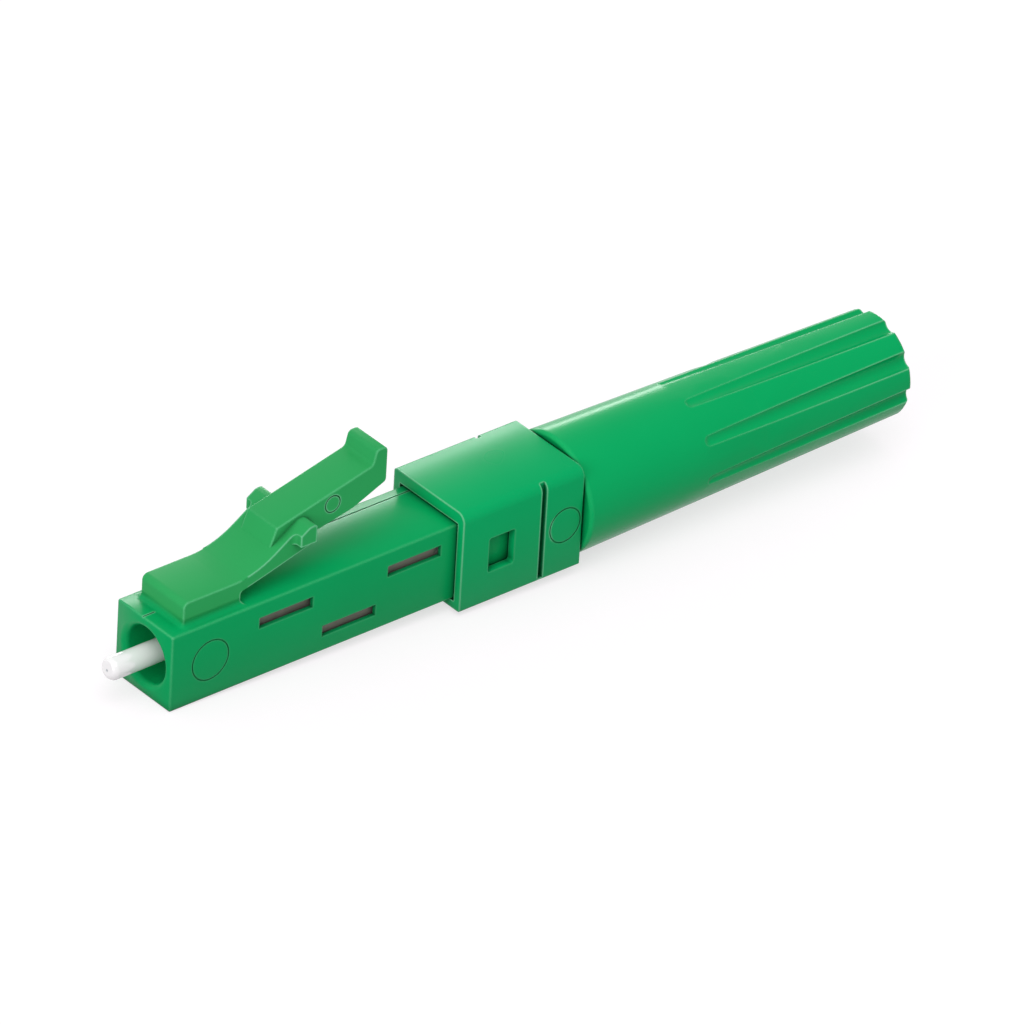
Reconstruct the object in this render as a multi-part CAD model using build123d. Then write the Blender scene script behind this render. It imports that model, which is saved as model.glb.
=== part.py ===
"""Field assembly connector for optical fibre, small square plug with a latch, angled polish.

X runs along the fibre, from the ferrule tip (-X) to the cable exit (+X).
Y is across, Z is up, and the latch is on top.
The origin is on the ferrule's axis, in the plane of the plug's front face.
All lengths are in millimetres and all angles in degrees.
"""
from build123d import *
from math import atan2, degrees, radians, sin, sqrt, tan
import os

# Fits and gaps shared by several pieces
slide_gap = 0.06        # a piece that slides in a moulded cavity
seat_gap = 0.02         # two faces that meet at a stop
thread_gap = 0.08       # between the boot's bore and what turns in it
bond_gap = 0.008        # glued or pressed pieces, radial

# Plug body
plug_size = 4.52        # width and height of the square plug
plug_seen = 18.52       # from the front face to the block
plug_insert = 3.88      # end of the housing that sits in the block
plug_edge = 0.12        # radius of the long and front edges
plug_wall = 0.50        # top and bottom walls
plug_side_wall = 0.25   # thin, where the slots are
bore_land = 0.16        # the round front bore is smaller than the square cavity by this
bore_depth = 3.40
bore_mouth = 0.35       # radius of the rounded mouth
ring_width = 0.07       # engraved ejector marks
ring_depth = 0.05
plug_ring_radius = 1.17
plug_ring_x = 2.55

# Tool slots in both sides of the plug
slot_length = 3.50
slot_height = 0.65
slot_first_x = 7.42     # middle of the first slot
slot_pitch = 4.20
slot_rise = 1.03        # the slots stand this far above or below the axis
slot_sides = (1, -1, 1)

# Fine parting lines on the plug's top face
parting_width = 0.07
parting_depth = 0.05
parting_front_y = 0.21
parting_rear_y = 1.65

# Latch foot, moulded with the plug
foot_front_x = 1.08
foot_height = 1.38      # above the plug's top face
foot_inset = 0.52       # the foot's side stands this far in from the plug's
foot_nose_radius = 0.35
foot_root_radius = 0.30 # all round the foot, where it meets the plug
foot_back_x = 4.75      # where the gap under the latch starts
gap_radius = 0.20
latch_edge = 0.08       # small radius along the latch's top edges

# Latch arm, the part that bends
hinge_x = 5.02          # middle of the thin web, where the arm bends
hinge_rise = 0.81       # underside of the web, above the plug's top face
scoop_radius = 5.0      # hollow top of the front portion
scoop_start_x = 4.17
scoop_angle = 33.6      # slope that the hollow ends in
knee_x = 7.00           # the riser up to the thumb bar starts here
bar_start_x = 7.42
bar_start_rise = 3.30   # above the plug's top face
bar_angle = 13.8
bar_inset = 0.54        # and the thumb bar's side this far in from the foot's
lip_x = 13.62           # foot of the lip on the bar
lip_height = 0.86
lip_lean = 0.22
lip_radius = 0.27
lip_root_radius = 0.30
arm_end_x = 14.55
end_height = 1.45       # from the bar's line down to the arm's lower corner
end_corner_radius = 0.25
belly_x = 12.45         # the underside bends up behind this point
belly_rise = 2.70
belly_mid_x = 10.10
belly_mid_rise = 2.20
belly_front_x = 6.40
belly_front_rise = 1.17
belly_radius = 1.50
bar_ring_radius = 0.48
bar_ring_x = 11.04
bar_ring_drop = 0.72    # below the bar's top
ear_front_x = 8.20      # locking ears
ear_back_x = 9.20
ear_root_x = 10.05      # the ear's back corner runs out into the bar here
ear_crest_x = 8.74
ear_top_back_x = 9.12
ear_top_back_rise = 3.46
ear_low_x = 9.95
ear_low_rise = 2.64
ear_round = 0.30
ear_floor_rise = 2.42
ear_root_radius = 0.25
ear_back_step = 0.12

# Square block behind the plug
block_length = 8.06
block_wall = 0.60       # side walls, outside the plug
block_roof = 0.82       # top wall, outside the plug
block_floor = 0.56      # bottom wall, outside the plug
block_near_radius = 0.55 # long top edge on the near side (-Y)
block_far_radius = 0.20 # and on the far side, where the mould parts
block_edge = 0.10
block_hole_gap = 0.11   # round the plug
window_set = 2.65       # from the block's front to the middle of the snap window
window_length = 1.72
window_height = 2.08
window_corner = 0.15
tab_height = 0.38       # snap ramp on the plug, inside the window
tab_length = 0.46
tab_width = 1.90
groove_set = 2.69       # from the block's back to the grip groove in both sides
groove_width = 0.32
groove_depth = 0.30
groove_foot = 0.13      # left closed at the bottom
block_ring_radius = 1.01
block_ring_set = 1.18   # from the block's back to the ring's middle

# Inner body: carries the spring, the thread and the cable's end
body_stem_length = 2.0  # part that sits in the plug's cavity
body_flange_length = 1.95
body_neck_inset = 0.21  # the round neck is smaller than the plug's half width by this
thread_crest_inset = 0.01
thread_depth = 0.14
thread_length = 5.6
thread_relief = 0.5     # plain neck behind the block, before the thread
body_bore_radius = 0.80
guide_bore_gap = 0.10   # round the fibre guide's tube
guide_bore_spare = 0.70 # room left when the ferrule is pushed right back

# Boot nut
boot_gap = 0.10         # between the block and the boot
boot_front_radius = 3.455
boot_back_radius = 2.985
boot_length = 22.25
boot_front_edge = 0.22
boot_back_edge = 0.20
boot_recess_gap = 0.55  # round the inner body's neck
boot_recess_depth = 0.45
cable_bore_radius = 1.78
flute_count = 9
flute_phase = 30.0      # one flute this far above the near side
flute_radius = 0.50
flute_start = 8.40      # from the boot's front face
flute_start_depth = 0.10
flute_depth = 0.36      # at the back end, where the flutes are deepest

# Cable clamp: slotted collet that the boot closes on the cable's jacket
collet_gap = 0.30       # from the tail's end
collet_length = 4.4
collet_wall = 0.48      # at the front end
collet_front_gap = 0.14 # inside the boot's bore
collet_taper = 0.28     # how much smaller its back end is
collet_slits = 4
collet_slit_width = 0.35
collet_ring = 1.00      # solid ring left at the front

# Buffer tube pressed into the tail
tube_bore_radius = 0.50
tube_start_inset = 1.2  # behind the body's front face
tube_reach = 2.4        # past the tail's end

# Ferrule, zirconia, angled polish
ferrule_radius = 0.6245
ferrule_reach = 2.36    # in front of the plug's face
ferrule_length = 6.66
ferrule_nose_radius = 0.38
ferrule_polish = 8.0
ferrule_seat_radius = 0.45  # stepped down where the collar holds it
ferrule_float = 0.90    # how far it can be pushed back
fibre_radius = 0.0625
fibre_hole_gap = 0.0075
fibre_room = 0.20       # bore behind the ferrule
fibre_stand = 0.05      # bare fibre in front of the ceramic, before the polish

# Ferrule collar, square so that the ferrule can't turn
collar_play = 0.14      # to the cavity's walls
collar_corner = 0.36
collar_length = 1.50

# Mechanical splice: grooved base, flat cover and a spring clip round both
clip_play = 0.08        # to the cavity's walls
splice_edge = 0.20
splice_opening = 0.08   # between the base and the cover
groove_angle = 60.0     # sides of the fibre groove
clip_wall = 0.15
clip_gap = 0.03
clip_inset = 0.10
clip_slit = 1.20
fibre_meet_x = 11.2     # the stub ends here, in the middle of the splice

# Fibre guide behind the splice, and the spring round it
guide_flange_length = 0.50
guide_flange_play = 0.18
guide_tube_length = 2.20
guide_bore = 0.20
guide_mouth = 0.60
guide_mouth_length = 1.20
spring_wire = 0.15      # wire radius
spring_inset = 0.11     # the coil's outside is smaller than the flange by this
spring_room = 2.38      # free length between the flange and the inner body
spring_tube_gap = 0.22  # inside the coil, to the guide's tube
spring_turns = 4.5

# Worked out from the above
plug_half = plug_size / 2
plug_top = plug_half
plug_length = plug_seen + plug_insert
cavity_half = plug_half - plug_wall
cavity_half_width = plug_half - plug_side_wall
bore_radius = cavity_half - bore_land
foot_half_width = plug_half - foot_inset
bar_half_width = foot_half_width - bar_inset
foot_top = plug_top + foot_height
hinge_z = plug_top + hinge_rise
web_slope = (belly_front_rise - hinge_rise) / (belly_front_x - hinge_x)
gap_top = hinge_z - (hinge_x - foot_back_x) * web_slope
block_x = plug_seen
block_half = plug_half + block_wall
block_top = plug_half + block_roof
block_bottom = plug_half + block_floor
block_back_x = block_x + block_length
window_x = block_x + window_set
groove_x = block_back_x - groove_set
block_ring_x = block_back_x - block_ring_set
body_x = plug_length - body_stem_length
flange_x = plug_length + seat_gap
flange_back_x = flange_x + body_flange_length
block_shoulder_x = flange_back_x + seat_gap
body_neck_radius = plug_half - body_neck_inset
thread_crest_radius = body_neck_radius - thread_crest_inset
thread_core_radius = thread_crest_radius - thread_depth
thread_x = block_back_x + thread_relief
tail_x = thread_x + thread_length
boot_x = block_back_x + boot_gap
boot_back_x = boot_x + boot_length
boot_bore_radius = thread_crest_radius + thread_gap
boot_recess_radius = body_neck_radius + boot_recess_gap
collet_x = tail_x + collet_gap
collet_front_radius = boot_bore_radius - collet_front_gap
collet_back_radius = collet_front_radius - collet_taper
collar_x = bore_depth + seat_gap
collar_half = cavity_half - collar_play
collar_half_width = cavity_half_width - collar_play
splice_x = collar_x + collar_length
spring_x = body_x - spring_room
guide_x = spring_x - guide_flange_length
splice_length = guide_x - splice_x
splice_half = cavity_half - clip_play - clip_wall - clip_gap
splice_half_width = cavity_half_width - clip_play - clip_wall - clip_gap
guide_flange_half = cavity_half - guide_flange_play
guide_flange_half_width = cavity_half_width - guide_flange_play
spring_radius = guide_flange_half - spring_inset - spring_wire
guide_tube_radius = spring_radius - spring_wire - spring_tube_gap
guide_bore_radius = guide_tube_radius + guide_bore_gap
guide_bore_depth = spring_x + guide_tube_length + ferrule_float + guide_bore_spare - body_x

os.makedirs("parts", exist_ok=True)


def box(x0, x1, y0, y1, z0, z1):
    """A block between two corners."""
    return Pos((x0 + x1) / 2, (y0 + y1) / 2, (z0 + z1) / 2) * Box(x1 - x0, y1 - y0, z1 - z0)


def rod(x0, x1, radius, radius_end=None):
    """A round bar or cone along X."""
    middle = Pos((x0 + x1) / 2, 0, 0) * Rot(0, 90, 0)
    if radius_end is None:
        return middle * Cylinder(radius, x1 - x0)
    return middle * Cone(radius, radius_end, x1 - x0)


def side_plate(face_xz, half_width):
    """Extrude an outline in the XZ plane by the same amount to both sides."""
    return extrude(face_xz, half_width, dir=(0, 1, 0), both=True)


def rounded_outline(corners):
    """Closed outline in the XZ plane from (x, z, radius) corners."""
    count = len(corners)
    pieces = []
    starts = []
    for number in range(count):
        before = Vector(corners[number - 1][0], 0, corners[number - 1][1])
        here = Vector(corners[number][0], 0, corners[number][1])
        after = Vector(corners[(number + 1) % count][0], 0, corners[(number + 1) % count][1])
        radius = corners[number][2]
        to_before = (before - here).normalized()
        to_after = (after - here).normalized()
        if radius == 0:
            starts.append((here, here))
            continue
        half = radians(to_before.get_angle(to_after)) / 2
        run = radius / tan(half)
        centre = here + (to_before + to_after).normalized() * (radius / sin(half))
        first = here + to_before * run
        last = here + to_after * run
        middle = centre + (here - centre).normalized() * radius
        pieces.append(ThreePointArc(first, middle, last))
        starts.append((first, last))
    for number in range(count):
        start = starts[number][1]
        stop = starts[(number + 1) % count][0]
        if (stop - start).length > 1e-6:
            pieces.append(Line(start, stop))
    return make_face(pieces)


def side_edges(solid, y_face):
    """Edges that lie in the two side faces at the same distance from the middle."""
    return [e for e in solid.edges() if abs(abs(e.center().Y) - y_face) < 1e-3]


def engraved_ring(x, y_face, z, radius):
    """The thin ring that an ejector leaves, as a cutter for a face across Y."""
    outer = Cylinder(radius + ring_width / 2, 2 * ring_depth)
    inner = Cylinder(radius - ring_width / 2, 3 * ring_depth)
    return Pos(x, y_face, z) * Rot(90, 0, 0) * (outer - inner)


def save(shape, node):
    """Write one piece."""
    shape.label = node
    export_step(shape, f"parts/{node}.step")


# Front housing
def front_housing():
    """The square plug with its cavity, slots, snap tabs and latch foot."""
    shell = box(0, plug_length, -plug_half, plug_half, -plug_half, plug_half)
    shell = fillet(shell.edges().filter_by(Axis.X), plug_edge)
    front = shell.faces().sort_by(Axis.X)[0]
    shell = fillet(front.edges(), plug_edge * 0.8)
    foot = side_plate(rounded_outline(latch_corners()), foot_half_width)
    foot &= box(-1, hinge_x, -plug_size, plug_size, 0, 2 * plug_size)
    top_level = foot_top - foot_nose_radius - 1e-3
    foot = fillet([e for e in side_edges(foot, foot_half_width)
                   if (e.center().Z > top_level or e.center().X < foot_front_x + 1e-3)
                   and e.center().X < hinge_x - 1e-3], latch_edge)
    shell += foot
    shell = fillet(root_edges(shell), foot_root_radius)
    shell -= rod(-1, bore_depth, bore_radius)
    mouth = [e for e in shell.edges().filter_by(GeomType.CIRCLE)
             if abs(e.center().X) < 1e-3 and abs(e.radius - bore_radius) < 1e-3]
    shell = fillet(mouth, bore_mouth)
    shell -= box(bore_depth, plug_length + 1, -cavity_half_width, cavity_half_width,
                 -cavity_half, cavity_half)
    for number, side in enumerate(slot_sides):
        x = slot_first_x + number * slot_pitch
        z = side * slot_rise
        shell -= box(x - slot_length / 2, x + slot_length / 2, -plug_size, plug_size,
                     z - slot_height / 2, z + slot_height / 2)
    for hand in (-1, 1):
        shell -= engraved_ring(plug_ring_x, hand * plug_half, 0, plug_ring_radius)
        shell += snap_tab(hand)
    shell -= parting_line(-1, foot_front_x - foot_root_radius, parting_front_y)
    shell -= parting_line(foot_back_x + foot_root_radius, plug_length + 1, parting_rear_y)
    return shell


def root_edges(shell):
    """Edges all round the foot, where it stands on the plug's top face."""
    return [e for e in shell.edges()
            if abs(e.center().Z - plug_top) < 1e-3
            and foot_front_x - 1e-3 < e.center().X < foot_back_x + 1e-3
            and abs(e.center().Y) < foot_half_width + 1e-3]


def parting_line(x0, x1, y):
    """Cutter for the fine line that the mould's parting leaves on the top face."""
    return box(x0, x1, y - parting_width / 2, y + parting_width / 2,
               plug_top - parting_depth, plug_top + parting_depth)


def snap_tab(hand):
    """Ramp on the plug's side that snaps into the block's window."""
    x0 = window_x - window_length / 2 + seat_gap
    base = plug_half - plug_side_wall / 2
    ramp = make_face(Polyline((x0, hand * base, 0), (x0, hand * (plug_half + tab_height), 0),
                              (x0 + tab_length, hand * plug_half, 0),
                              (x0 + tab_length, hand * base, 0), close=True))
    return extrude(ramp, tab_width / 2, dir=(0, 0, 1), both=True)


# Latch
def bar_line(x):
    """Height of the thumb bar's top face."""
    return plug_top + bar_start_rise + (x - bar_start_x) * tan(radians(bar_angle))


def scoop_corner_x():
    """Where the foot's flat top would meet the straight slope behind the hollow."""
    return scoop_start_x + scoop_radius * tan(radians(scoop_angle) / 2)


def slope_line(x):
    """Height of the straight slope behind the hollow."""
    return foot_top + (x - scoop_corner_x()) * tan(radians(scoop_angle))


def foot_corners():
    """Corners of the foot's front and top, from the plug up to the hollow."""
    sunk = plug_top - plug_wall / 2
    return [
        (foot_front_x, sunk, 0),
        (foot_front_x, foot_top, foot_nose_radius),
        (scoop_corner_x(), foot_top, scoop_radius),
    ]


def belly_corners():
    """Corners of the underside, from the middle of the arm forward to the plug."""
    sunk = plug_top - plug_wall / 2
    return [
        (belly_front_x, plug_top + belly_front_rise, belly_radius),
        (foot_back_x, gap_top, gap_radius),
        (foot_back_x, sunk, 0),
    ]


def latch_corners():
    """Side outline of the middle strip: foot, web, hollow, riser, thumb bar and lip."""
    base = bar_line(lip_x)
    return foot_corners() + [
        (knee_x, slope_line(knee_x), 0),
        (bar_start_x, bar_line(bar_start_x), ear_root_radius / 2),
        (lip_x, base, lip_root_radius),
        (lip_x + lip_lean, base + lip_height, lip_radius),
        (arm_end_x, base + lip_height, lip_radius),
        (arm_end_x, bar_line(arm_end_x) - end_height, end_corner_radius),
        (belly_x, plug_top + belly_rise, belly_radius),
        (belly_mid_x, plug_top + belly_mid_rise, belly_radius),
    ] + belly_corners()


def wing_corners():
    """Side outline of the wider front portion, with the ears' top."""
    return foot_corners() + [
        (ear_crest_x, slope_line(ear_crest_x), ear_round),
        (ear_top_back_x, plug_top + ear_top_back_rise, ear_round),
        (ear_low_x, plug_top + ear_low_rise, ear_round),
        (ear_root_x, plug_top + belly_mid_rise, 0),
    ] + belly_corners()


def wing_plan(hand):
    """Plan outline of the front portion's side and one ear."""
    inner = hand * bar_half_width / 2
    side = hand * foot_half_width
    reach = hand * plug_half
    root_x = ear_front_x - ear_root_radius
    root_y = hand * (foot_half_width + ear_root_radius)
    bend = (1 - 1 / sqrt(2)) * ear_root_radius
    back_y = hand * (plug_half - ear_back_step)
    side_y = hand * bar_half_width
    bow_x = ear_back_x + 0.3 * (ear_root_x - ear_back_x)
    bow_y = side_y + 0.3 * (back_y - side_y)
    return make_face([
        Line((foot_back_x, inner), (foot_back_x, side)),
        Line((foot_back_x, side), (root_x, side)),
        ThreePointArc((root_x, side), (ear_front_x - bend, side + hand * bend), (ear_front_x, root_y)),
        Line((ear_front_x, root_y), (ear_front_x, reach)),
        Line((ear_front_x, reach), (ear_back_x, reach)),
        Line((ear_back_x, reach), (ear_back_x, back_y)),
        ThreePointArc((ear_back_x, back_y), (bow_x, bow_y), (ear_root_x, side_y)),
        Line((ear_root_x, side_y), (ear_root_x, inner)),
        Line((ear_root_x, inner), (foot_back_x, inner)),
    ])


def latch_arm():
    """The bending arm: web, hollow front portion, two ears and the thumb bar."""
    behind_web = box(hinge_x, arm_end_x + 1, -plug_size, plug_size, 0, 3 * plug_size)
    arm = side_plate(rounded_outline(latch_corners()), bar_half_width) & behind_web
    arm = fillet([e for e in side_edges(arm, bar_half_width) if e.center().X > bar_start_x], latch_edge)
    wings = side_plate(rounded_outline(wing_corners()), plug_size) & behind_web
    for hand in (-1, 1):
        wing = wings & (Pos(0, 0, plug_top) * extrude(wing_plan(hand), plug_size, dir=(0, 0, 1)))
        y0, y1 = sorted((hand * foot_half_width, hand * plug_size))
        wing -= box(root_front_x(), ear_root_x + 1, y0, y1, 0, plug_top + ear_floor_rise)
        arm += wing
        arm -= engraved_ring(bar_ring_x, hand * bar_half_width,
                             bar_line(bar_ring_x) - bar_ring_drop, bar_ring_radius)
    return arm


def root_front_x():
    """Where the ear's rounded root starts on the front portion's side."""
    return ear_front_x - ear_root_radius


# Rear block
def rear_block():
    """Square sleeve that joins the plug to the inner body."""
    block = box(block_x, block_back_x, -block_half, block_half, -block_bottom, block_top)
    top_edges = [e for e in block.edges().filter_by(Axis.X) if e.center().Z > 0]
    top_edges.sort(key=lambda e: e.center().Y)
    block = fillet(top_edges[0], block_near_radius)
    far_edges = [e for e in block.edges().filter_by(Axis.X)
                 if e.center().Z > block_top - 1e-3 and e.center().Y > block_half - 1e-3]
    block = fillet(far_edges, block_far_radius)
    low_edges = [e for e in block.edges().filter_by(Axis.X) if e.center().Z < 0]
    block = fillet(low_edges, block_edge)
    for end in (block.faces().sort_by(Axis.X)[0], block.faces().sort_by(Axis.X)[-1]):
        block = fillet(end.edges(), block_edge)
    hole = plug_half + block_hole_gap
    block -= box(block_x - 1, block_shoulder_x, -hole, hole, -hole, hole)
    block -= rod(block_shoulder_x - 1, block_back_x + 1, body_neck_radius + slide_gap)
    window = box(window_x - window_length / 2, window_x + window_length / 2, -2 * block_half, 2 * block_half,
                 -window_height / 2, window_height / 2)
    block -= fillet(window.edges().filter_by(Axis.Y), window_corner)
    for hand in (-1, 1):
        y0, y1 = sorted((hand * (block_half - groove_depth), hand * 2 * block_half))
        block -= box(groove_x - groove_width / 2, groove_x + groove_width / 2, y0, y1,
                     -block_bottom + groove_foot, block_top + 1)
        block -= engraved_ring(block_ring_x, hand * block_half, 0, block_ring_radius)
    return block


# Inner body
def inner_body():
    """Stem in the plug, flange in the block, threaded tail in the boot."""
    stem_half = cavity_half - slide_gap
    stem_half_width = cavity_half_width - slide_gap
    flange_half = plug_half + block_hole_gap - slide_gap
    body = box(body_x, flange_x, -stem_half_width, stem_half_width, -stem_half, stem_half)
    body += box(flange_x, flange_back_x, -flange_half, flange_half, -flange_half, flange_half)
    body += rod(flange_back_x, thread_x, body_neck_radius)
    body += rod(thread_x, tail_x, thread_core_radius)
    body -= rod(body_x - 1, tail_x + 1, body_bore_radius)
    body -= rod(body_x - 1, body_x + guide_bore_depth, guide_bore_radius)
    return body


def buffer_tube():
    """Tube that leads the buffered fibre through the tail."""
    x0 = body_x + guide_bore_depth + tube_start_inset
    x1 = tail_x + tube_reach
    return rod(x0, x1, body_bore_radius - bond_gap) - rod(x0 - 1, x1 + 1, tube_bore_radius)


# Boot nut
def boot_radius(x):
    """Outer radius of the boot at a place along the axis."""
    share = (x - boot_x) / boot_length
    return boot_front_radius + share * (boot_back_radius - boot_front_radius)


def boot_nut():
    """Long tapered nut with flutes at its back and a cable hole."""
    boot = rod(boot_x, boot_back_x, boot_front_radius, boot_back_radius)
    rims = boot.edges().filter_by(GeomType.CIRCLE).sort_by(Axis.X)
    boot = fillet(rims[-1], boot_back_edge)
    boot = fillet(boot.edges().filter_by(GeomType.CIRCLE).sort_by(Axis.X)[0], boot_front_edge)
    start_x = boot_x + flute_start
    reach = boot_length - flute_start + 1
    start_z = boot_radius(start_x) + flute_radius - flute_start_depth
    end_z = boot_back_radius + flute_radius - flute_depth
    dip = degrees(atan2(start_z - end_z, boot_back_x - start_x))
    for number in range(flute_count):
        run = Pos(start_x, 0, start_z) * Rot(0, 90 + dip, 0)
        flute = run * (Pos(0, 0, reach / 2) * Cylinder(flute_radius, reach) + Sphere(flute_radius))
        boot -= Rot(90 - flute_phase - number * 360 / flute_count, 0, 0) * flute
    collet_end = collet_x + collet_length
    boot -= rod(boot_x - 1, collet_x, boot_bore_radius)
    boot -= rod(boot_x - 1, boot_x + boot_recess_depth, boot_recess_radius)
    boot -= rod(collet_x, collet_end + thread_gap, collet_front_radius + thread_gap,
                collet_back_radius + thread_gap)
    boot -= rod(collet_end, boot_back_x + 1, cable_bore_radius)
    return boot


def cable_collet():
    """Slotted sleeve that closes on the cable's jacket."""
    end = collet_x + collet_length
    collet = rod(collet_x, end, collet_front_radius, collet_back_radius)
    collet -= rod(collet_x - 1, end + 1, collet_front_radius - collet_wall)
    for number in range(collet_slits // 2):
        slit = box(collet_x + collet_ring, end + 1, -boot_front_radius, boot_front_radius,
                   -collet_slit_width / 2, collet_slit_width / 2)
        collet -= Rot(number * 360 / collet_slits, 0, 0) * slit
    return collet


# Ferrule group
def polish_cutter():
    """Everything in front of the angled end face."""
    big = 4 * ferrule_reach
    return Pos(-ferrule_reach, 0, 0) * Rot(0, ferrule_polish, 0) * Pos(-big / 2, 0, 0) * Box(big, big, big)


def ferrule():
    """Ceramic ferrule with a round nose and the fibre's hole."""
    x0 = -ferrule_reach - (ferrule_radius - ferrule_nose_radius) * tan(radians(ferrule_polish))
    x2 = ferrule_length - ferrule_reach
    blank = rod(x0, collar_x, ferrule_radius)
    blank = fillet(blank.edges().filter_by(GeomType.CIRCLE).sort_by(Axis.X)[0], ferrule_nose_radius)
    blank += rod(collar_x, x2, ferrule_seat_radius)
    blank -= polish_cutter()
    blank -= rod(x0 - 1, x2 + 1, fibre_radius + fibre_hole_gap)
    return blank


def fibre_stub():
    """Bare fibre fixed in the ferrule, which ends in the splice."""
    return rod(-ferrule_reach - fibre_stand, fibre_meet_x, fibre_radius) - polish_cutter()


def ferrule_collar():
    """Square collar on the ferrule's end, which stops against the cavity's shoulder."""
    collar = box(collar_x, splice_x, -collar_half_width, collar_half_width, -collar_half, collar_half)
    collar = chamfer(collar.edges().filter_by(Axis.X), collar_corner)
    collar -= rod(collar_x - 1, ferrule_length - ferrule_reach + seat_gap, ferrule_seat_radius + bond_gap)
    collar -= rod(collar_x, splice_x + 1, fibre_room)
    return collar


def splice_half_block(z0, z1):
    """Long block of the splice, with its outer corners eased."""
    block = box(splice_x, guide_x, -splice_half_width, splice_half_width, z0, z1)
    outer = z0 if abs(z0) > abs(z1) else z1
    corners = [e for e in block.edges().filter_by(Axis.X) if abs(e.center().Z - outer) < 1e-3]
    return fillet(corners, splice_edge)


def splice_base():
    """Lower half of the splice, with the groove that lines the two fibres up."""
    top = fibre_radius - splice_opening
    depth = fibre_radius / sin(radians(groove_angle / 2))
    half = (top + depth) * tan(radians(groove_angle / 2))
    groove = make_face(Polyline((splice_x, -half, top), (splice_x, half, top),
                                (splice_x, 0, -depth), close=True))
    return splice_half_block(-splice_half, top) - extrude(groove, splice_length, dir=(1, 0, 0))


def splice_cover():
    """Upper half of the splice, flat, which presses on the fibres."""
    return splice_half_block(fibre_radius, splice_half)


def splice_clip():
    """Spring clip that holds the splice shut, seen through the plug's slots."""
    inner = splice_half + clip_gap
    inner_width = splice_half_width + clip_gap
    outer = inner + clip_wall
    outer_width = inner_width + clip_wall
    x0 = splice_x + clip_inset
    x1 = guide_x - clip_inset
    clip = box(x0, x1, -outer_width, outer_width, -outer, outer)
    clip = fillet(clip.edges().filter_by(Axis.X), splice_edge + clip_wall)
    core = box(x0 - 1, x1 + 1, -inner_width, inner_width, -inner, inner)
    clip -= fillet(core.edges().filter_by(Axis.X), splice_edge)
    clip -= box(x0 - 1, x1 + 1, -clip_slit / 2, clip_slit / 2, -outer - 1, 0)
    return clip


def fibre_guide():
    """Flanged tube behind the splice that leads the bare fibre in."""
    end = spring_x + guide_tube_length
    guide = box(guide_x, spring_x, -guide_flange_half_width, guide_flange_half_width,
                -guide_flange_half, guide_flange_half)
    guide = chamfer(guide.edges().filter_by(Axis.X), collar_corner)
    guide += rod(spring_x, end, guide_tube_radius)
    guide -= rod(guide_x - 1, end + 1, guide_bore)
    guide -= rod(end - guide_mouth_length, end, guide_bore, guide_mouth)
    return guide


def ferrule_spring():
    """Coil spring between the guide's flange and the inner body."""
    x0 = spring_x + spring_wire
    length = body_x - spring_x - 2 * spring_wire
    path = Helix(length / spring_turns, length, spring_radius)
    section = Plane(origin=path @ 0, z_dir=path % 0) * Circle(spring_wire)
    return Pos(x0, 0, 0) * Rot(0, 90, 0) * sweep(section, path, is_frenet=True)


save(front_housing(), "front_housing")
save(latch_arm(), "latch_arm")
save(rear_block(), "rear_block")
save(inner_body(), "inner_body")
save(buffer_tube(), "buffer_tube")
save(boot_nut(), "boot_nut")
save(cable_collet(), "cable_collet")
save(ferrule(), "ferrule")
save(fibre_stub(), "fibre_stub")
save(ferrule_collar(), "ferrule_collar")
save(splice_base(), "splice_base")
save(splice_cover(), "splice_cover")
save(splice_clip(), "splice_clip")
save(fibre_guide(), "fibre_guide")
save(ferrule_spring(), "ferrule_spring")
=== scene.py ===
import bpy
import bmesh
import math
from mathutils import Matrix, Vector


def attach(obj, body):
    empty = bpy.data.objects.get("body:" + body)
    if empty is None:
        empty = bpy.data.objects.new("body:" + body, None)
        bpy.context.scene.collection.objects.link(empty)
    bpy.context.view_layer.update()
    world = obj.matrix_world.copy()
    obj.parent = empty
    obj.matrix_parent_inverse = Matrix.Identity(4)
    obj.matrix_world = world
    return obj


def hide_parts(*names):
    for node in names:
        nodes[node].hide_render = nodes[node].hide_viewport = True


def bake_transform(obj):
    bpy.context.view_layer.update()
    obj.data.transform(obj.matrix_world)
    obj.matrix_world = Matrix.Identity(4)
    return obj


# Field assembly connector: looks, camera and light. Metres, same frame as the CAD.
mm = 0.001

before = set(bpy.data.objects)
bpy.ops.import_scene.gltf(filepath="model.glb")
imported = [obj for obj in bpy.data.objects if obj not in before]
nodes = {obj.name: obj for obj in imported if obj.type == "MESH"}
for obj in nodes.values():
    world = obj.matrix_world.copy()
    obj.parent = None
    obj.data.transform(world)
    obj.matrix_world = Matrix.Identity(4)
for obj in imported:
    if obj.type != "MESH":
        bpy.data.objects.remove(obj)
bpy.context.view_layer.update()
print("frame loaded,", len(nodes), "nodes")


# Camera
camera = {
    "place": (-387.103 * mm, -469.990 * mm, 401.447 * mm),
    "aim": (24.22 * mm, 0.0, -0.27 * mm),
    "roll": 3.444,          # degrees, right side of the picture up
    "lens": 505.11,         # on a sensor this wide
    "sensor": 36.0,
    "clip": (0.01, 20.0),
}


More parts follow.
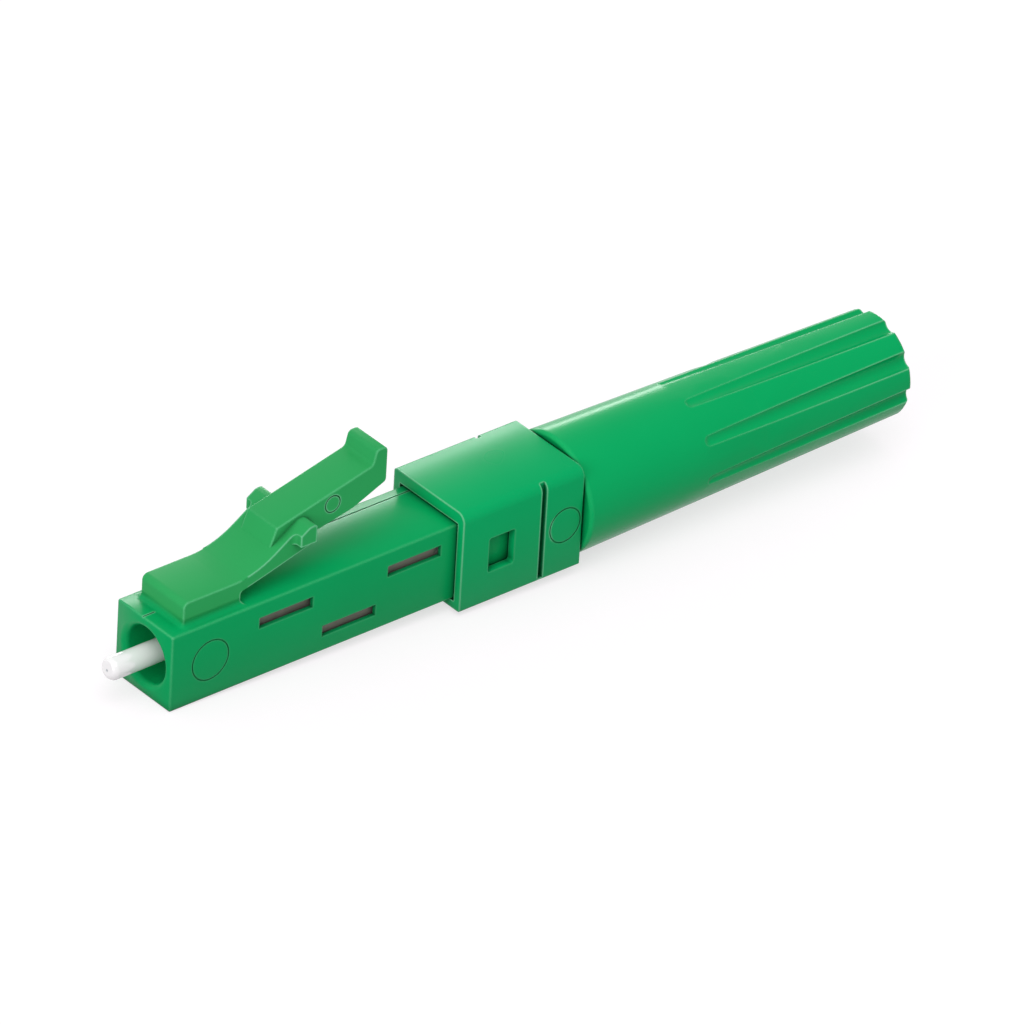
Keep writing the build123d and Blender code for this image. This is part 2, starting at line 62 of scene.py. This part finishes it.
def makeCamera(c):
    data = bpy.data.cameras.new("photoCamera")
    data.sensor_fit = "HORIZONTAL"
    data.sensor_width = c["sensor"]
    data.lens = c["lens"]
    data.clip_start, data.clip_end = c["clip"]
    thing = bpy.data.objects.new("photoCamera", data)
    bpy.context.scene.collection.objects.link(thing)
    place = Vector(c["place"])
    forward = (Vector(c["aim"]) - place).normalized()
    right = forward.cross(Vector((0, 0, 1))).normalized()
    up = right.cross(forward)
    turn = math.radians(c["roll"])
    tippedRight = right * math.cos(turn) + up * math.sin(turn)
    tippedUp = up * math.cos(turn) - right * math.sin(turn)
    basis = Matrix((tippedRight, tippedUp, -forward)).transposed().to_4x4()
    thing.matrix_world = Matrix.Translation(place) @ basis
    bpy.context.scene.camera = thing


makeCamera(camera)
print("camera done")


# Node helpers
noiseSpan = (0.15, 0.85)    # the part of a noise's range that is used
noiseDetail = {"soft": 1.0, "plain": 2.0, "rich": 4.0}
raySamples = {"closeness": 8, "edge": 6}


def addNode(tree, kind, place):
    node = tree.nodes.new(kind)
    node.location = place
    return node


def startMaterial(name):
    material = bpy.data.materials.new(name)
    material.use_nodes = True
    tree = material.node_tree
    tree.nodes.clear()
    output = addNode(tree, "ShaderNodeOutputMaterial", (600, 0))
    shader = addNode(tree, "ShaderNodeBsdfPrincipled", (300, 0))
    tree.links.new(shader.outputs["BSDF"], output.inputs["Surface"])
    return material, tree, shader


def addNoise(tree, size, detail, place):
    coords = addNode(tree, "ShaderNodeTexCoord", (place[0] - 200, place[1]))
    noise = addNode(tree, "ShaderNodeTexNoise", place)
    noise.inputs["Scale"].default_value = 1 / size
    noise.inputs["Detail"].default_value = detail
    tree.links.new(coords.outputs["Object"], noise.inputs["Vector"])
    return noise.outputs["Fac"]


def addRamp(tree, source, low, high, place):
    node = addNode(tree, "ShaderNodeValToRGB", place)
    node.color_ramp.interpolation = "EASE"
    for stop, position, colour in zip(node.color_ramp.elements, noiseSpan, (low, high)):
        stop.position = position
        stop.color = (*colour, 1)
    tree.links.new(source, node.inputs["Fac"])
    return node.outputs["Color"]


def addSmooth(tree, source, start, end, low, high, place):
    # eases from low at start to high at end
    node = addNode(tree, "ShaderNodeMapRange", place)
    node.interpolation_type = "SMOOTHSTEP"
    for name, value in (("From Min", start), ("From Max", end), ("To Min", low), ("To Max", high)):
        node.inputs[name].default_value = value
    tree.links.new(source, node.inputs["Value"])
    return node.outputs["Result"]


def addMath(tree, kind, first, second, place):
    node = addNode(tree, "ShaderNodeMath", place)
    node.operation = kind
    for socket, value in zip(node.inputs, (first, second)):
        if isinstance(value, (int, float)):
            socket.default_value = value
        else:
            tree.links.new(value, socket)
    return node.outputs["Value"]


def addMix(tree, kind, amount, first, second, place):
    # second is laid over first by amount
    node = addNode(tree, "ShaderNodeMix", place)
    node.data_type = kind
    pick = {s.name: s for s in node.inputs if s.enabled}
    for name, value in (("Factor", amount), ("A", first), ("B", second)):
        if isinstance(value, (int, float, tuple)):
            pick[name].default_value = value
        else:
            tree.links.new(value, pick[name])
    return next(s for s in node.outputs if s.enabled)


def addPosition(tree, place):
    coords = addNode(tree, "ShaderNodeTexCoord", (place[0] - 400, place[1]))
    parts = addNode(tree, "ShaderNodeSeparateXYZ", (place[0] - 200, place[1]))
    tree.links.new(coords.outputs["Object"], parts.inputs["Vector"])
    return parts.outputs


def addDistance(tree, source, middle, place):
    # how far source is from middle, either way
    offset = addMath(tree, "SUBTRACT", source, middle, place)
    return addMath(tree, "ABSOLUTE", offset, 0, (place[0] + 160, place[1]))


def addCrown(tree, crown, place):
    # moulded faces are a little rounded, across (Y) and up (Z)
    position = addPosition(tree, place)
    height = 0.0
    for row, (axis, radius) in enumerate((("Y", crown["across"]), ("Z", crown["upright"]))):
        x, y = place[0], place[1] - 160 * row
        square = addMath(tree, "MULTIPLY", position[axis], position[axis], (x, y))
        bow = addMath(tree, "MULTIPLY", square, -0.5 / radius, (x + 160, y))
        height = addMath(tree, "ADD", bow, height, (x + 320, y))
    return height


def addCloseness(tree, reach, inside, place):
    # 1 on open faces, less in gaps and corners, or on outer edges where it looks inside
    node = addNode(tree, "ShaderNodeAmbientOcclusion", place)
    node.samples = raySamples["closeness"]
    node.inside = inside
    node.only_local = inside
    node.inputs["Distance"].default_value = reach
    return node.outputs["AO"]


def addRelief(tree, source, depth, softEdge, place, crown=None, whole=None):
    x, y = place
    bump = addNode(tree, "ShaderNodeBump", place)
    bump.inputs["Strength"].default_value = 1.0
    bump.inputs["Distance"].default_value = 1.0
    height = addMath(tree, "MULTIPLY", source, depth, (x - 400, y))
    if crown:
        height = addMath(tree, "ADD", height, crown, (x - 200, y))
    tree.links.new(height, bump.inputs["Height"])
    if softEdge:
        edge = addNode(tree, "ShaderNodeBevel", (x - 200, y - 200))
        edge.samples = raySamples["edge"]
        edge.inputs["Radius"].default_value = softEdge
        normal = edge.outputs["Normal"]
        if whole:
            plain = addNode(tree, "ShaderNodeNewGeometry", (x - 400, y - 400))
            normal = addMix(tree, "VECTOR", whole, plain.outputs["Normal"], normal, (x, y - 250))
        tree.links.new(normal, bump.inputs["Normal"])
    return bump.outputs["Normal"]


def addSeenRays(tree, place):
    # 1 for what the camera, gloss and glass see, 0 for light that falls on the part
    rays = addNode(tree, "ShaderNodeLightPath", (place[0] - 200, place[1]))
    straight, mirrored = rays.outputs["Is Camera Ray"], rays.outputs["Is Glossy Ray"]
    through = rays.outputs["Is Transmission Ray"]
    seen = addMath(tree, "ADD", straight, mirrored, place)
    return addMath(tree, "ADD", seen, through, (place[0] + 160, place[1]))


def linkSurface(tree, shader, tint, sheen=None, relief=None):
    for name, source in (("Base Color", tint), ("Roughness", sheen), ("Normal", relief)):
        if source:
            tree.links.new(source, shader.inputs[name])


# The cut between foot and arm, which are one moulding in the real part
web = {
    "cutX": 5.02 * mm,                 # where the CAD cuts the arm from the foot
    "hideTo": 0.25 * mm,               # how far the cut is smoothed to either side
    "hideZ": (2.60 * mm, 2.90 * mm),   # and from which height up
    "tintX": (6.0 * mm, 7.0 * mm),     # the foot has the arm's tint, a painted warm light, in front of this
    "tintZ": (2.30 * mm, 2.75 * mm),   # and above this
}


def addWebMask(tree, place):
    # 0 at the cut, 1 elsewhere
    x, y = place
    position = addPosition(tree, place)
    away = addDistance(tree, position["X"], web["cutX"], place)
    along = addSmooth(tree, away, web["hideTo"] / 2, web["hideTo"], 0, 1, (x + 320, y))
    below = addSmooth(tree, position["Z"], *web["hideZ"], 1, 0, (x + 320, y - 250))
    return addMath(tree, "MAXIMUM", along, below, (x + 480, y))


def addFootMask(tree, place):
    # 1 on the latch's foot, 0 on the rest of the plug
    x, y = place
    position = addPosition(tree, place)
    ahead = addSmooth(tree, position["X"], *web["tintX"], 1, 0, place)
    above = addSmooth(tree, position["Z"], *web["tintZ"], 0, 1, (x, y - 250))
    return addMath(tree, "MULTIPLY", ahead, above, (x + 200, y))


# Side areas with slots, windows and rings, where the edges are sharp and the painted edge highlight
# is faint
quiet = {
    "soft": 0.3 * mm,       # width of the change round an area
    "left": 0.2,            # share of the painted highlight line that stays inside
    "areas": {              # from x, to x, and how far up and down from the axis
        "plugPlastic": [(0.9 * mm, 18.0 * mm, 1.60 * mm)],
        "blockPlastic": [(20.1 * mm, 22.7 * mm, 1.30 * mm), (24.75 * mm, 26.45 * mm, 1.15 * mm)],
    },
}


def addQuietMask(tree, area, place):
    x, y = place
    startX, endX, reachZ = area
    position = addPosition(tree, place)
    masks = []
    for row, (axis, middle, reach) in enumerate((("X", (startX + endX) / 2, (endX - startX) / 2),
                                                 ("Z", 0.0, reachZ))):
        away = addDistance(tree, position[axis], middle, (x, y - 250 * row))
        masks.append(addSmooth(tree, away, reach, reach + quiet["soft"], quiet["left"], 1,
                               (x + 320, y - 250 * row)))
    return addMath(tree, "MAXIMUM", *masks, (x + 480, y))


# Finishes, with a painted highlight along outer edges and painted shade in corners and gaps
paintedLightAndShade = {
    "edgeHighlightReach": 0.11 * mm,    # width of the painted highlight line along outer edges
    "edgeHighlightSpan": (0.96, 0.66),  # closeness at which it starts and is full
    "gapShadeReach": 0.8 * mm,      # how far the painted shade reaches into corners and gaps
    "gapShadeSpan": (0.15, 0.92),   # closeness at which they are darkest and open
}
greenPlastic = {
    "patch": 6 * mm, "grain": 0.25 * mm, "depth": 0.0008 * mm, "crown": None,
    "specular": 0.09, "tint": (0.4, 1.0, 0.65),
    # the edge tint is a painted highlight along outer edges, and gapShade is how dark the painted
    # shade gets
    "edgeHighlightTint": (0.20, 0.66, 0.36), "edgeHighlightAmount": 0.75, "gapShade": 0.22,
}
palePlastic = {
    "patch": 3 * mm, "grain": 0.2 * mm, "depth": 0.002 * mm, "edge": 0.03 * mm, "crown": None,
    "specular": 0.5, "tint": (1, 1, 1),
    # the edge tint is a painted highlight along outer edges, and gapShade is how dark the painted
    # shade gets
    "edgeHighlightTint": (0.85, 0.85, 0.83), "edgeHighlightAmount": 0.3, "gapShade": 0.5,
}
plastics = {
    "plugPlastic": {
        **greenPlastic, "low": (0.001, 0.365, 0.106), "high": (0.002, 0.385, 0.114),
        "gloss": (0.26, 0.32), "edge": 0.06 * mm,
        "crown": {"across": 6 * mm, "upright": 12 * mm},
    },
    "blockPlastic": {
        **greenPlastic, "low": (0.001, 0.395, 0.122), "high": (0.002, 0.415, 0.130),
        "gloss": (0.26, 0.32), "edge": 0.06 * mm,
        "crown": {"across": 9 * mm, "upright": 12 * mm},
    },
    # painted light: the latch is the same green as the plug, made yellower to paint the warm light
    # it catches
    "latchPlastic": {
        **greenPlastic, "low": (0.026, 0.365, 0.100), "high": (0.030, 0.385, 0.108),
        "gloss": (0.28, 0.34), "edge": 0.07 * mm,
        "crown": {"across": 12 * mm, "upright": 12 * mm},
    },
    "bootPlastic": {
        **greenPlastic, "low": (0.001, 0.395, 0.114), "high": (0.002, 0.415, 0.122),
        "gloss": (0.21, 0.25), "edge": 0.08 * mm, "patch": 8 * mm, "grain": 0.3 * mm,
    },
    "splicePlastic": {
        **palePlastic, "low": (0.62, 0.60, 0.55), "high": (0.70, 0.68, 0.63), "gloss": (0.40, 0.50),
    },
    "tubePlastic": {
        **palePlastic, "low": (0.72, 0.72, 0.70), "high": (0.80, 0.80, 0.78), "gloss": (0.35, 0.45),
    },
}
plasticIor = 1.5


def makePlastic(name):
    f = plastics[name]
    material, tree, shader = startMaterial(name)
    broad = addNoise(tree, f["patch"], noiseDetail["plain"], (-500, 200))
    fine = addNoise(tree, f["grain"], noiseDetail["soft"], (-900, -300))
    tint = addRamp(tree, broad, f["low"], f["high"], (-200, 200))
    sheen = addSmooth(tree, broad, *noiseSpan, *f["gloss"], (-200, -50))
    crown = addCrown(tree, f["crown"], (-900, -500)) if f["crown"] else None
    whole = addWebMask(tree, (-900, 900)) if f["crown"] else None
    if name == "plugPlastic":
        # the latch's foot is moulded on the plug and takes the arm's yellower tint, which is
        # painted warm light
        arm = plastics["latchPlastic"]
        foot = addFootMask(tree, (-500, 1200))
        armWarmLightTint = addRamp(tree, broad, arm["low"], arm["high"], (-200, 450))
        tint = addMix(tree, "RGBA", foot, tint, armWarmLightTint, (100, 600))
        armCrown = addCrown(tree, arm["crown"], (-900, -900))
        crown = addMix(tree, "FLOAT", foot, crown, armCrown, (-400, -700))
    # painted highlight: outer edges, found by looking into the part, get the paler edge tint
    edge = addSmooth(tree, addCloseness(tree, paintedLightAndShade["edgeHighlightReach"], True, (-900, 700)),
                     *paintedLightAndShade["edgeHighlightSpan"], 0, f["edgeHighlightAmount"], (-700, 700))
    if whole:
        edge = addMath(tree, "MULTIPLY", edge, whole, (-500, 700))
    for row, area in enumerate(quiet["areas"].get(name, [])):
        mask = addQuietMask(tree, area, (-900, 1500 + 600 * row))
        edge = addMath(tree, "MULTIPLY", edge, mask, (-300 + 160 * row, 700))
    tint = addMix(tree, "RGBA", edge, tint, (*f["edgeHighlightTint"], 1), (0, 400))
    # painted shade: corners, gaps and spots close to other parts or the floor are darkened
    paintedShadeAmount = addSmooth(tree, addCloseness(tree, paintedLightAndShade["gapShadeReach"], False, (-900, 500)),
                    *paintedLightAndShade["gapShadeSpan"], 1 - f["gapShade"], 0, (-700, 500))
    tint = addMix(tree, "RGBA", paintedShadeAmount, tint, (0, 0, 0, 1), (150, 400))
    relief = addRelief(tree, fine, f["depth"], f["edge"], (0, -300), crown, whole)
    linkSurface(tree, shader, tint, sheen, relief)
    shader.inputs["IOR"].default_value = plasticIor
    shader.inputs["Specular IOR Level"].default_value = f["specular"]
    shader.inputs["Specular Tint"].default_value = (*f["tint"], 1)
    return material


brushed = {"streak": 0.8 * mm, "grain": 0.08 * mm, "depth": 0.001 * mm}
metals = {
    "collarMetal": {
        "low": (0.50, 0.50, 0.49), "high": (0.60, 0.60, 0.58),
        "gloss": (0.25, 0.4), "metallic": 1.0,
    },
    "clipMetal": {
        "low": (0.16, 0.145, 0.125), "high": (0.22, 0.20, 0.175),
        "gloss": (0.45, 0.6), "metallic": 0.6,
    },
    "springSteel": {
        "low": (0.50, 0.50, 0.50), "high": (0.62, 0.62, 0.62),
        "gloss": (0.2, 0.35), "metallic": 1.0,
    },
}


def makeMetal(name):
    m = metals[name]
    material, tree, shader = startMaterial(name)
    streak = addNoise(tree, brushed["streak"], noiseDetail["rich"], (-500, 100))
    fine = addNoise(tree, brushed["grain"], noiseDetail["plain"], (-500, -300))
    tint = addRamp(tree, streak, m["low"], m["high"], (-200, 200))
    sheen = addSmooth(tree, streak, *noiseSpan, *m["gloss"], (-200, -50))
    relief = addRelief(tree, fine, brushed["depth"], 0, (0, -300))
    linkSurface(tree, shader, tint, sheen, relief)
    shader.inputs["Metallic"].default_value = m["metallic"]
    return material


ceramic = {
    "low": (0.92, 0.92, 0.92), "high": (0.95, 0.95, 0.95), "patch": 2 * mm, "gloss": (0.12, 0.2),
    "grain": 0.1 * mm, "depth": 0.0005 * mm, "edge": 0.04 * mm, "ior": 2.1,
}


def makeCeramic():
    material, tree, shader = startMaterial("ferruleCeramic")
    broad = addNoise(tree, ceramic["patch"], noiseDetail["plain"], (-500, 200))
    fine = addNoise(tree, ceramic["grain"], noiseDetail["plain"], (-500, -300))
    tint = addRamp(tree, broad, ceramic["low"], ceramic["high"], (-200, 200))
    sheen = addSmooth(tree, broad, *noiseSpan, *ceramic["gloss"], (-200, -50))
    relief = addRelief(tree, fine, ceramic["depth"], ceramic["edge"], (0, -300))
    linkSurface(tree, shader, tint, sheen, relief)
    shader.inputs["IOR"].default_value = ceramic["ior"]
    return material


glass = {
    "low": (0.45, 0.50, 0.52), "high": (0.55, 0.60, 0.62), "patch": 0.5 * mm,
    "roughness": 0.08, "ior": 1.46,
}


def makeGlass():
    material, tree, shader = startMaterial("fibreGlass")
    broad = addNoise(tree, glass["patch"], noiseDetail["plain"], (-500, 200))
    linkSurface(tree, shader, addRamp(tree, broad, glass["low"], glass["high"], (-200, 200)))
    shader.inputs["Roughness"].default_value = glass["roughness"]
    shader.inputs["IOR"].default_value = glass["ior"]
    return material


materials = {name: makePlastic(name) for name in plastics}
materials.update({name: makeMetal(name) for name in metals})
materials["ferruleCeramic"] = makeCeramic()
materials["fibreGlass"] = makeGlass()

nodeFinish = {
    "front_housing": "plugPlastic",
    "latch_arm": "latchPlastic",
    "rear_block": "blockPlastic",
    "inner_body": "blockPlastic",
    "boot_nut": "bootPlastic",
    "cable_collet": "tubePlastic",
    "buffer_tube": "tubePlastic",
    "ferrule": "ferruleCeramic",
    "ferrule_collar": "collarMetal",
    "fibre_stub": "fibreGlass",
    "splice_base": "splicePlastic",
    "splice_cover": "splicePlastic",
    "splice_clip": "clipMetal",
    "fibre_guide": "splicePlastic",
    "ferrule_spring": "springSteel",
}

for node, finish in nodeFinish.items():
    mesh = nodes[node].data
    mesh.materials.clear()
    mesh.materials.append(materials[finish])
print("finishes done,", len(materials), "materials")


# Tail thread
thread = {
    "startX": 27.25 * mm,
    "finish": "blockPlastic",
    "ridgePoints": 6,           # round the ridge
    "sizes": {                  # the tree's inputs
        "Pitch": 0.75 * mm,
        "Length": 5.3 * mm,
        "Core Radius": 1.90 * mm,
        "Height": 0.14 * mm,
        "Points per Turn": 48,
    },
}


def threadTree(material):
    tree = bpy.data.node_groups.new("tailThread", "GeometryNodeTree")
    for name, value in thread["sizes"].items():
        kind = "NodeSocketInt" if isinstance(value, int) else "NodeSocketFloat"
        socket = tree.interface.new_socket(name, in_out="INPUT", socket_type=kind)
        socket.default_value = value
    tree.interface.new_socket("Mesh", in_out="OUTPUT", socket_type="NodeSocketGeometry")
    given = addNode(tree, "NodeGroupInput", (-600, 0))
    turns = addMath(tree, "DIVIDE", given.outputs["Length"], given.outputs["Pitch"], (-400, 150))
    spiral = addNode(tree, "GeometryNodeCurveSpiral", (-200, 150))
    for name, source in (("Resolution", given.outputs["Points per Turn"]), ("Rotations", turns),
                         ("Start Radius", given.outputs["Core Radius"]),
                         ("End Radius", given.outputs["Core Radius"]),
                         ("Height", given.outputs["Length"])):
        tree.links.new(source, spiral.inputs[name])
    ridge = addNode(tree, "GeometryNodeCurvePrimitiveCircle", (-200, -200))
    ridge.mode = "RADIUS"
    ridge.inputs["Resolution"].default_value = thread["ridgePoints"]
    tree.links.new(given.outputs["Height"], ridge.inputs["Radius"])
    sweep = addNode(tree, "GeometryNodeCurveToMesh", (0, 0))
    sweep.inputs["Fill Caps"].default_value = True
    tree.links.new(spiral.outputs["Curve"], sweep.inputs["Curve"])
    tree.links.new(ridge.outputs["Curve"], sweep.inputs["Profile Curve"])
    whole = addNode(tree, "GeometryNodeRealizeInstances", (200, 0))
    tree.links.new(sweep.outputs["Mesh"], whole.inputs["Geometry"])
    coat = addNode(tree, "GeometryNodeSetMaterial", (400, 0))
    coat.inputs["Material"].default_value = material
    tree.links.new(whole.outputs["Geometry"], coat.inputs["Geometry"])
    result = addNode(tree, "NodeGroupOutput", (600, 0))
    tree.links.new(coat.outputs["Geometry"], result.inputs["Mesh"])
    return tree


def makeThread():
    holder = bpy.data.objects.new("tailThreadMaker", bpy.data.meshes.new("tailThreadMaker"))
    bpy.context.scene.collection.objects.link(holder)
    tree = threadTree(materials[thread["finish"]])
    maker = holder.modifiers.new("tailThread", "NODES")
    maker.node_group = tree
    for item in tree.interface.items_tree:
        if item.in_out == "INPUT":
            maker[item.identifier] = thread["sizes"][item.name]
    seen = bpy.context.evaluated_depsgraph_get()
    mesh = bpy.data.meshes.new_from_object(holder.evaluated_get(seen))
    holder.modifiers.remove(maker)
    bpy.data.objects.remove(holder)
    # the spiral stands up on Z, and the thread lies along X
    mesh.transform(Matrix.Rotation(math.radians(90), 4, "Y"))
    mesh.transform(Matrix.Translation((thread["startX"], 0, 0)))
    for polygon in mesh.polygons:
        polygon.use_smooth = True
    ridge = bpy.data.objects.new("tailThread", mesh)
    bpy.context.scene.collection.objects.link(ridge)
    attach(ridge, "plug")


makeThread()
print("tail thread done")


# Merged copies, cut into rows, of the pieces that bend or squeeze between two bodies
mergeGap = 0.0001 * mm


def makeBending(name, node, bodies, startX, endX, rows, slotName):
    # a merged copy of the node's mesh, cut into rows across X
    piece = bpy.data.objects.new(name, nodes[node].data.copy())
    bpy.context.scene.collection.objects.link(piece)
    shape = bmesh.new()
    shape.from_mesh(piece.data)
    bmesh.ops.remove_doubles(shape, verts=shape.verts, dist=mergeGap)
    for row in range(1, rows):
        x = startX + (endX - startX) * row / rows
        bmesh.ops.bisect_plane(shape, geom=shape.verts[:] + shape.edges[:] + shape.faces[:],
                               plane_co=(x, 0, 0), plane_no=(1, 0, 0))
    shape.to_mesh(piece.data)
    shape.free()
    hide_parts(node)
    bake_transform(piece)


# Latch arm: bends at its web
latch = {
    "bodies": ("plug", "latch"),
    "startX": web["cutX"],
    "endX": 6.60 * mm,       # behind this the arm stays stiff
    "rows": 10,
    "slotName": "green_plastic",
}

makeBending("bendingLatch", "latch_arm", **latch)
print("latch done")


# Ferrule spring: its back end stays on the inner body when the ferrule is pushed in
spring = {
    "bodies": ("floating_group", "plug"),
    "startX": 18.02 * mm,    # on the guide's flange
    "endX": 20.40 * mm,      # on its seat in the inner body
    "rows": 1,
    "slotName": "spring_steel",
}

makeBending("squeezingSpring", "ferrule_spring", **spring)
print("spring done")


# Floor and light
studio = {
    "floorSize": 3.0,
    "restFront": (0.0, -2.26 * mm),       # x and z where the plug's front edge rests
    "restBack": (26.9 * mm, -3.45 * mm),  # and the boot's front rim
    "floorColour": (0.42, 0.38, 0.41),
    "floorUneven": 1.01,                  # how much paler its palest patches are
    "floorPatch": 0.3,
    "floorRoughness": 0.9,
    "floorGlow": (0.655, 1.0),            # near the part and far from it
    "glowFade": (0.12, 0.50),             # from this distance to this
    "worldLight": 0.60,
    "lamps": {
        "farStrip": {"place": (0.68, 0.76, 0.12), "size": (1.1, 0.15), "power": 4.6},
        "topSoftbox": {"place": (-0.2, -0.35, 1.0), "size": (0.9, 0.9), "power": 3.8},
        "frontSoftbox": {"place": (-0.95, -0.35, 0.40), "size": (0.6, 0.5), "power": 4.2},
    },
}


def makeFloorPaper():
    material, tree, shader = startMaterial("floorPaper")
    colour = studio["floorColour"]
    paler = tuple(c * studio["floorUneven"] for c in colour)
    broad = addNoise(tree, studio["floorPatch"], noiseDetail["plain"], (-500, 200))
    linkSurface(tree, shader, addRamp(tree, broad, colour, paler, (-200, 200)))
    shader.inputs["Roughness"].default_value = studio["floorRoughness"]
    shader.inputs["Specular IOR Level"].default_value = 0.0
    coords = addNode(tree, "ShaderNodeTexCoord", (-900, -500))
    away = addNode(tree, "ShaderNodeVectorMath", (-700, -500))
    away.operation = "LENGTH"
    tree.links.new(coords.outputs["Object"], away.inputs[0])
    fade = addSmooth(tree, away.outputs["Value"], *studio["glowFade"], *studio["floorGlow"],
                     (-500, -500))
    glow = addNode(tree, "ShaderNodeEmission", (250, -250))
    strength = addMath(tree, "MULTIPLY", addSeenRays(tree, (-300, -250)), fade, (50, -400))
    tree.links.new(strength, glow.inputs["Strength"])
    both = addNode(tree, "ShaderNodeAddShader", (450, -100))
    tree.links.new(shader.outputs["BSDF"], both.inputs[0])
    tree.links.new(glow.outputs["Emission"], both.inputs[1])
    output = next(n for n in tree.nodes if n.type == "OUTPUT_MATERIAL")
    tree.links.new(both.outputs["Shader"], output.inputs["Surface"])
    return material


def makeFloor():
    # the part lies on two edges, so the floor slopes a little under it
    (x0, z0), (x1, z1) = studio["restFront"], studio["restBack"]
    slope = (z1 - z0) / (x1 - x0)
    half = studio["floorSize"] / 2
    outline = ((-half, -half), (half, -half), (half, half), (-half, half))
    mesh = bpy.data.meshes.new("paleFloor")
    mesh.from_pydata([(x, y, z0 + (x - x0) * slope) for x, y in outline], [], [(0, 1, 2, 3)])
    mesh.materials.append(makeFloorPaper())
    floor = bpy.data.objects.new("paleFloor", mesh)
    bpy.context.scene.collection.objects.link(floor)


def makeWorld():
    world = bpy.data.worlds.new("paleRoom")
    bpy.context.scene.world = world
    world.use_nodes = True
    tree = world.node_tree
    tree.nodes.clear()
    mix = addNode(tree, "ShaderNodeMixShader", (100, 0))
    tree.links.new(addSeenRays(tree, (-400, 200)), mix.inputs["Fac"])
    # first the light on the part, then the white that is seen
    for number, strength in enumerate((studio["worldLight"], 1.0)):
        sky = addNode(tree, "ShaderNodeBackground", (-200, -150 * number))
        sky.inputs["Color"].default_value = (1, 1, 1, 1)
        sky.inputs["Strength"].default_value = strength
        tree.links.new(sky.outputs["Background"], mix.inputs[1 + number])
    output = addNode(tree, "ShaderNodeOutputWorld", (300, 0))
    tree.links.new(mix.outputs["Shader"], output.inputs["Surface"])


def makeLamps():
    for name, lamp in studio["lamps"].items():
        data = bpy.data.lights.new(name, "AREA")
        data.shape = "RECTANGLE"
        data.size, data.size_y = lamp["size"]
        data.energy = lamp["power"]
        thing = bpy.data.objects.new(name, data)
        thing.location = lamp["place"]
        toPart = Vector(camera["aim"]) - Vector(lamp["place"])
        thing.rotation_euler = toPart.to_track_quat("-Z", "Y").to_euler()
        bpy.context.scene.collection.objects.link(thing)


makeFloor()
makeWorld()
makeLamps()
bpy.context.scene.view_settings.view_transform = "Standard"
print("floor and light done")
